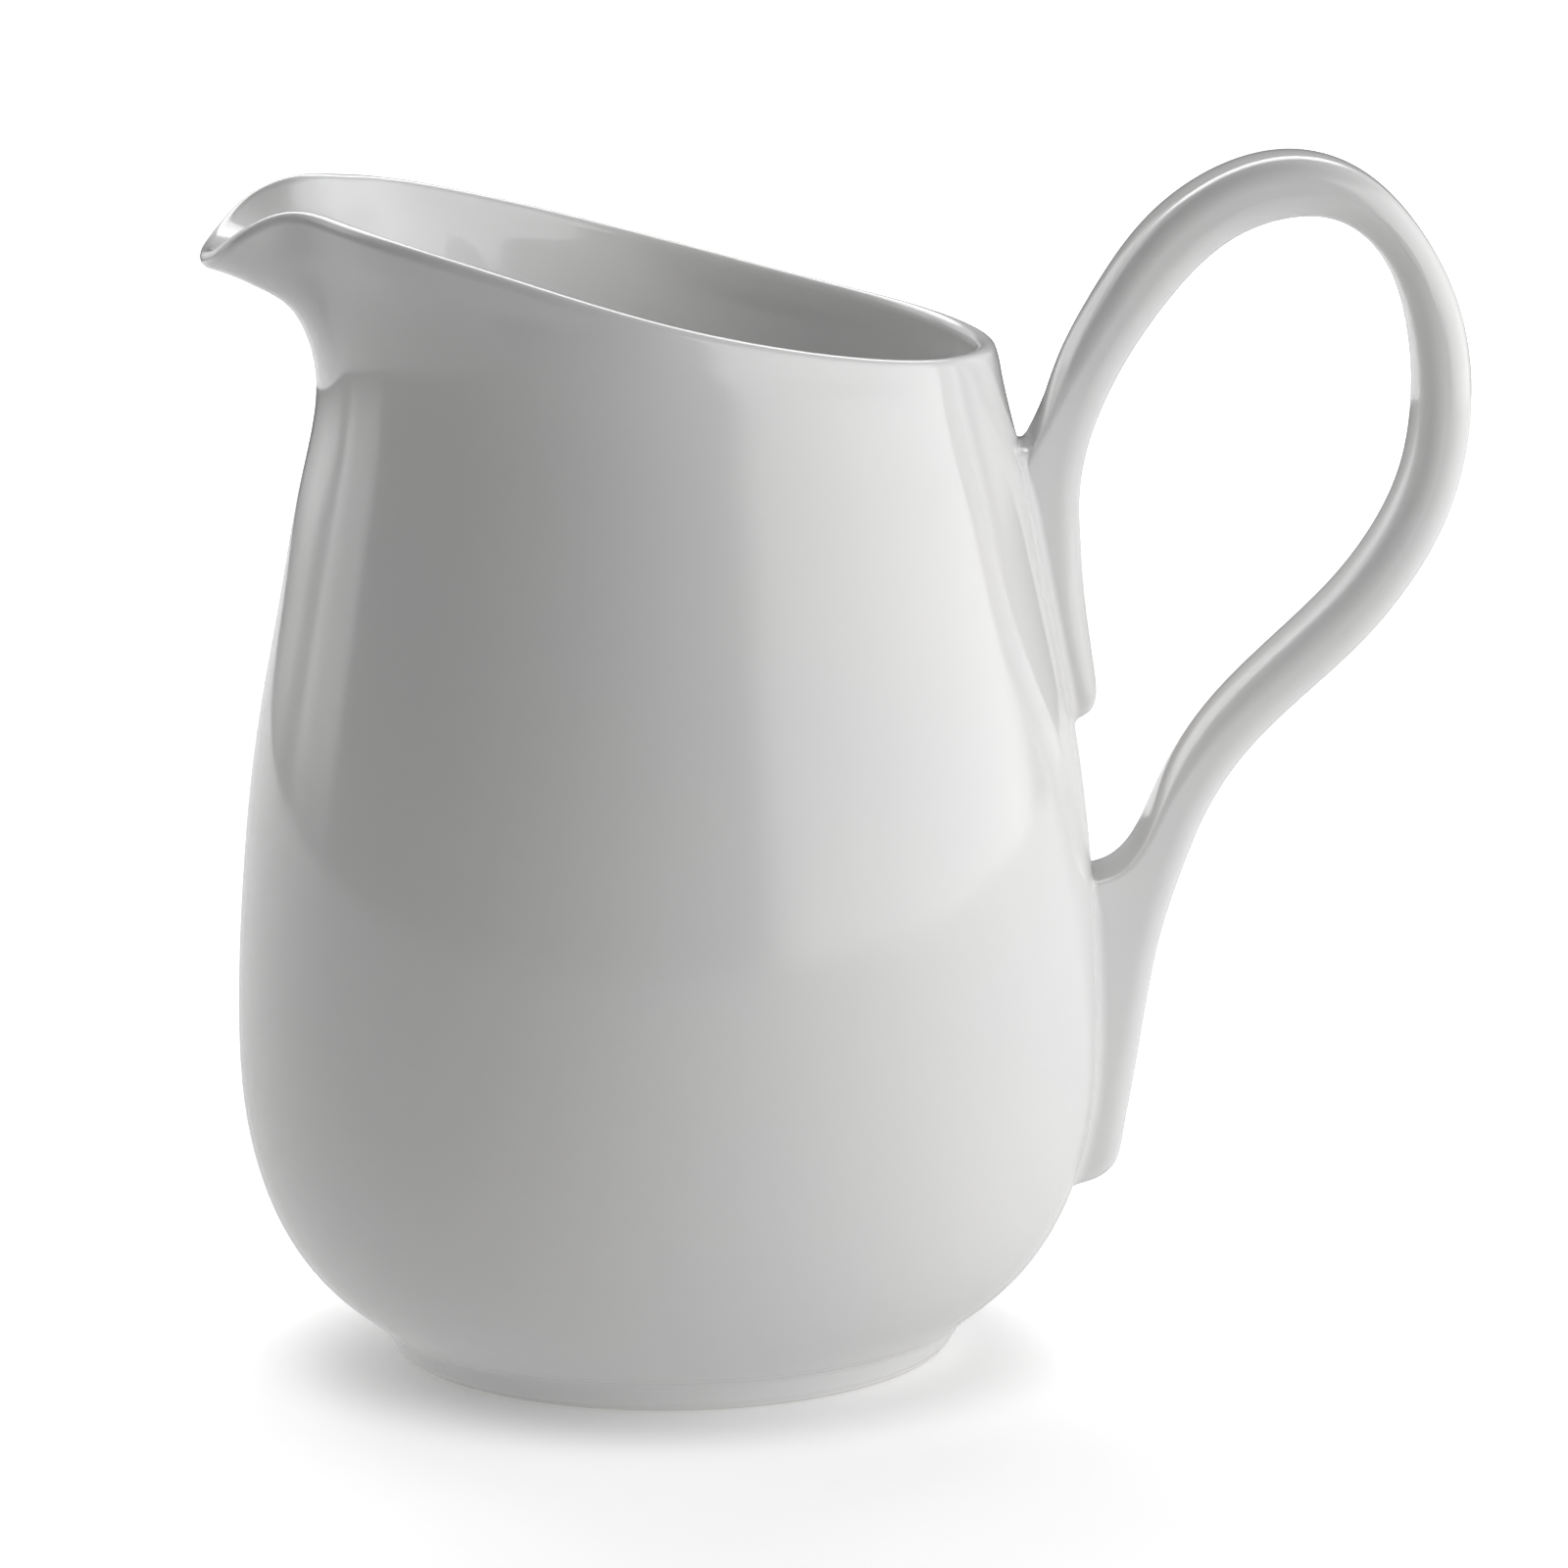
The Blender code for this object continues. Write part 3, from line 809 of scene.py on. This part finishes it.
def range_node(nodes, links, value, source, target):
    """A value moved from one range to another, and held inside it."""
    scaled = nodes.new("ShaderNodeMapRange")
    for name, number in zip(("From Min", "From Max", "To Min", "To Max"), source + target):
        scaled.inputs[name].default_value = number
    links.new(value, scaled.inputs["Value"])
    return scaled.outputs["Result"]


def tint_node(nodes, links, value, low, high):
    """A colour between two, chosen by a value from 0 to 1. Either one may be a node's output."""
    tint = nodes.new("ShaderNodeMix")
    tint.data_type = "RGBA"
    sockets = [socket for socket in tint.inputs if socket.type == "RGBA"]
    for socket, colour in zip(sockets, (low, high)):
        if isinstance(colour, tuple):
            socket.default_value = colour
        else:
            links.new(colour, socket)
    links.new(value, tint.inputs[0])
    return next(socket for socket in tint.outputs if socket.type == "RGBA")


def bump_node(nodes, links, value, depth, under=None):
    """A bump of a depth in millimetres, on top of another bump."""
    bump = nodes.new("ShaderNodeBump")
    bump.inputs["Distance"].default_value = depth * MM
    links.new(value, bump.inputs["Height"])
    if under:
        links.new(under, bump.inputs["Normal"])
    return bump.outputs["Normal"]


def pinhole_nodes(nodes, links, place):
    """Round spots where a bubble burst in the glaze: 0 inside a spot and 1 elsewhere."""
    cells = nodes.new("ShaderNodeTexVoronoi")
    cells.inputs["Scale"].default_value = 1 / (PINHOLE_SPACING * MM)
    links.new(place, cells.inputs["Vector"])
    radius = PINHOLE_RADIUS / PINHOLE_SPACING
    return range_node(nodes, links, cells.outputs["Distance"], (radius / 2, radius), (0.0, 1.0))


def glaze_material():
    """White porcelain under a clear glaze: slightly uneven in tone and gloss, with a fine ripple
    in its surface, slow pools where it ran, and a few pinholes."""
    material = bpy.data.materials.new("porcelain_glaze")
    material.use_nodes = True
    nodes, links = material.node_tree.nodes, material.node_tree.links
    shader = nodes["Principled BSDF"]
    shader.inputs["IOR"].default_value = GLAZE_IOR
    place = nodes.new("ShaderNodeTexCoord").outputs["Object"]
    pools = noise_node(nodes, links, place, POOL_LENGTH, 2.0)
    ripple = noise_node(nodes, links, place, RIPPLE_LENGTH, 2.0)
    smears = noise_node(nodes, links, place, SMEAR_LENGTH, 4.0)
    holes = pinhole_nodes(nodes, links, place)
    tone = range_node(nodes, links, pools, NOISE_RANGE, (0.0, 1.0))
    colour = tint_node(nodes, links, tone, GLAZE_COOL, GLAZE_WARM)
    colour = tint_node(nodes, links, holes, PINHOLE_COLOUR, colour)
    links.new(colour, shader.inputs["Base Color"])
    gloss = range_node(nodes, links, smears, NOISE_RANGE, GLAZE_ROUGHNESS)
    links.new(gloss, shader.inputs["Roughness"])
    surface = bump_node(nodes, links, pools, POOL_DEPTH)
    surface = bump_node(nodes, links, ripple, RIPPLE_DEPTH, surface)
    surface = bump_node(nodes, links, holes, PINHOLE_DEPTH, surface)
    links.new(surface, shader.inputs["Normal"])
    return material


def bisque_material():
    """Bare fired porcelain: matt, faintly warm and finely grained."""
    material = bpy.data.materials.new("bare_porcelain")
    material.use_nodes = True
    nodes, links = material.node_tree.nodes, material.node_tree.links
    shader = nodes["Principled BSDF"]
    place = nodes.new("ShaderNodeTexCoord").outputs["Object"]
    grain = noise_node(nodes, links, place, GRAIN_LENGTH, 3.0)
    patches = noise_node(nodes, links, place, PATCH_LENGTH, 3.0)
    colour = tint_node(nodes, links, patches, BISQUE_DARK, BISQUE_LIGHT)
    links.new(colour, shader.inputs["Base Color"])
    rough = range_node(nodes, links, grain, NOISE_RANGE, BISQUE_ROUGHNESS)
    links.new(rough, shader.inputs["Roughness"])
    links.new(bump_node(nodes, links, grain, GRAIN_DEPTH), shader.inputs["Normal"])
    return material


def paper_material(name, colour, glow):
    """Matt paper of one colour that gives off an even white light."""
    material = bpy.data.materials.new(name)
    material.use_nodes = True
    shader = material.node_tree.nodes["Principled BSDF"]
    shader.inputs["Base Color"].default_value = colour
    shader.inputs["Roughness"].default_value = PAPER_ROUGHNESS
    shader.inputs["Specular IOR Level"].default_value = 0.0
    shader.inputs["Emission Color"].default_value = (1.0, 1.0, 1.0, 1.0)
    shader.inputs["Emission Strength"].default_value = glow
    return material


def stage_paper():
    """White paper that glows: more far away, and less close to the foot, where the dimmer glow
    paints a soft contact shadow round it.
    """
    paper = paper_material("stage_paper", PAPER_WHITE, FLOOR_GLOW)
    nodes, links = paper.node_tree.nodes, paper.node_tree.links
    place = nodes.new("ShaderNodeTexCoord").outputs["Object"]
    offset = nodes.new("ShaderNodeVectorMath")
    offset.operation = "SUBTRACT"
    offset.inputs[1].default_value = (AXIS_X * MM, 0.0, 0.0)
    links.new(place, offset.inputs[0])
    reach = nodes.new("ShaderNodeVectorMath")
    reach.operation = "LENGTH"
    links.new(offset.outputs["Vector"], reach.inputs[0])
    # Painted shadow: the glow drops next to the foot, as a soft contact shadow on the stage.
    glow_with_painted_shadow = range_node(
        nodes, links, reach.outputs["Value"], PAINTED_SHADOW_REACH, (PAINTED_SHADOW_GLOW, FLOOR_GLOW)
    )
    glow_with_painted_shadow.node.interpolation_type = "SMOOTHSTEP"
    far = range_node(
        nodes, links, reach.outputs["Value"], WALL_GLOW_REACH, (0.0, WALL_GLOW - FLOOR_GLOW)
    )
    glow = nodes.new("ShaderNodeMath")
    links.new(glow_with_painted_shadow, glow.inputs[0])
    links.new(far, glow.inputs[1])
    links.new(glow.outputs["Value"], nodes["Principled BSDF"].inputs["Emission Strength"])
    return paper


# --- studio ---------------------------------------------------------------------------------

def make_camera():
    """A long-lens camera in front of the jug, which looks slightly down at it."""
    data = bpy.data.cameras.new("camera")
    data.lens = CAMERA_LENS
    data.sensor_width = CAMERA_SENSOR
    data.clip_end = CAMERA_REACH
    camera = bpy.data.objects.new("camera", data)
    bpy.context.scene.collection.objects.link(camera)
    x, y, z = CAMERA_PLACE
    turn = Matrix.Rotation(-math.radians(CAMERA_HEADING), 4, "Z")
    tilt = Matrix.Rotation(math.radians(90 + CAMERA_PITCH), 4, "X")
    roll = Matrix.Rotation(math.radians(CAMERA_ROLL), 4, "Z")
    camera.matrix_world = Matrix.Translation((x + AXIS_X * MM, y, z)) @ turn @ tilt @ roll
    bpy.context.scene.camera = camera


def soften(light):
    """Fades a light towards its edges, as the cloth of a softbox does."""
    light.use_nodes = True
    nodes, links = light.node_tree.nodes, light.node_tree.links
    place = nodes.new("ShaderNodeNewGeometry").outputs["Parametric"]
    axes = nodes.new("ShaderNodeSeparateXYZ")
    links.new(place, axes.inputs[0])
    fades = []
    for axis in ("X", "Y"):
        centred = nodes.new("ShaderNodeMath")
        centred.operation = "PINGPONG"
        centred.inputs[1].default_value = 0.5
        links.new(axes.outputs[axis], centred.inputs[0])
        fade = range_node(nodes, links, centred.outputs[0], (0.0, LIGHT_EDGE), (0.0, LIGHT_GAIN))
        fade.node.interpolation_type = "SMOOTHSTEP"
        fades.append(fade)
    both = nodes.new("ShaderNodeMath")
    both.operation = "MULTIPLY"
    for fade, socket in zip(fades, both.inputs):
        links.new(fade, socket)
    links.new(both.outputs[0], nodes["Emission"].inputs["Strength"])


def make_lights():
    """The area lights, each facing the jug's middle and unseen by the camera."""
    for name, bearing, elevation, distance, width, height, power in LIGHTS:
        turn, rise = math.radians(bearing), math.radians(elevation)
        towards = Vector(
            (math.sin(turn) * math.cos(rise), -math.cos(turn) * math.cos(rise), math.sin(rise))
        )
        data = bpy.data.lights.new(name, "AREA")
        data.shape = "RECTANGLE"
        data.size = width
        data.size_y = height
        data.energy = power
        soften(data)
        light = bpy.data.objects.new(name, data)
        light.location = Vector(LIGHT_TARGET) + towards * distance
        light.rotation_euler = (-towards).to_track_quat("-Z", "Y").to_euler()
        light.visible_camera = False
        bpy.context.scene.collection.objects.link(light)


def round_stage(name, profile, material):
    """A turned surface of the stage, from its profile of radius and height in metres."""
    points = []
    for radius, height in profile:
        for column in range(STAGE_COLUMNS):
            angle = column * 2 * math.pi / STAGE_COLUMNS
            points.append((radius * math.cos(angle), radius * math.sin(angle), height))
    faces = [face[::-1] for face in ring_faces(len(profile), STAGE_COLUMNS)]
    mesh = bpy.data.meshes.new(name)
    mesh.from_pydata(points, [], faces)
    mesh.validate()
    mesh.shade_smooth()
    mesh.materials.append(material)
    made = bpy.data.objects.new(name, mesh)
    bpy.context.scene.collection.objects.link(made)
    return made


def make_stage():
    """A pale round floor that curves up into a pale wall all round. The camera sees it; the light
    that comes back up to the jug is that of a smaller, dimmer sheet."""
    paper = stage_paper()
    flat = STAGE_RADIUS - STAGE_BEND
    floor = round_stage("stage_floor", [(0.0, 0.0), (0.5, 0.0), (1.0, 0.0), (flat, 0.0)], paper)
    bend = [(flat, 0.0)]
    bend += arc_points((flat, STAGE_BEND), STAGE_BEND, -90, 0, STAGE_BEND_STEPS)
    wall = round_stage("stage_wall", bend + [(STAGE_RADIUS, STAGE_HEIGHT)], paper)
    wall.visible_shadow = False
    for stage in (floor, wall):
        stage.visible_diffuse = False
        stage.visible_glossy = False
    sheet = paper_material("bounce_paper", BOUNCE_WHITE, BOUNCE_GLOW)
    edge = (BOUNCE_RADIUS, BOUNCE_HEIGHT)
    bounce = round_stage("bounce_sheet", [(0.0, BOUNCE_HEIGHT), edge], sheet)
    bounce.visible_camera = False
    bounce.visible_shadow = False


def make_world():
    """Faint white light from all round."""
    world = bpy.data.worlds.new("room")
    bpy.context.scene.world = world
    world.use_nodes = True
    background = world.node_tree.nodes["Background"]
    background.inputs["Color"].default_value = (1.0, 1.0, 1.0, 1.0)
    background.inputs["Strength"].default_value = ROOM_LIGHT


def main():
    glaze = glaze_material()
    bisque = bisque_material()
    make_body(glaze)
    make_foot(glaze, bisque)
    wall = wall_line()
    lines = strap_lines(*strap_outline(wall))
    make_handle(glaze, lines)
    make_coves(glaze, lines, wall)
    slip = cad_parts["foot_luting_slip"]
    slip.data.materials.clear()
    slip.data.materials.append(bisque)
    make_camera()
    make_lights()
    make_stage()
    make_world()
    bpy.context.scene.view_settings.view_transform = "Standard"


main()
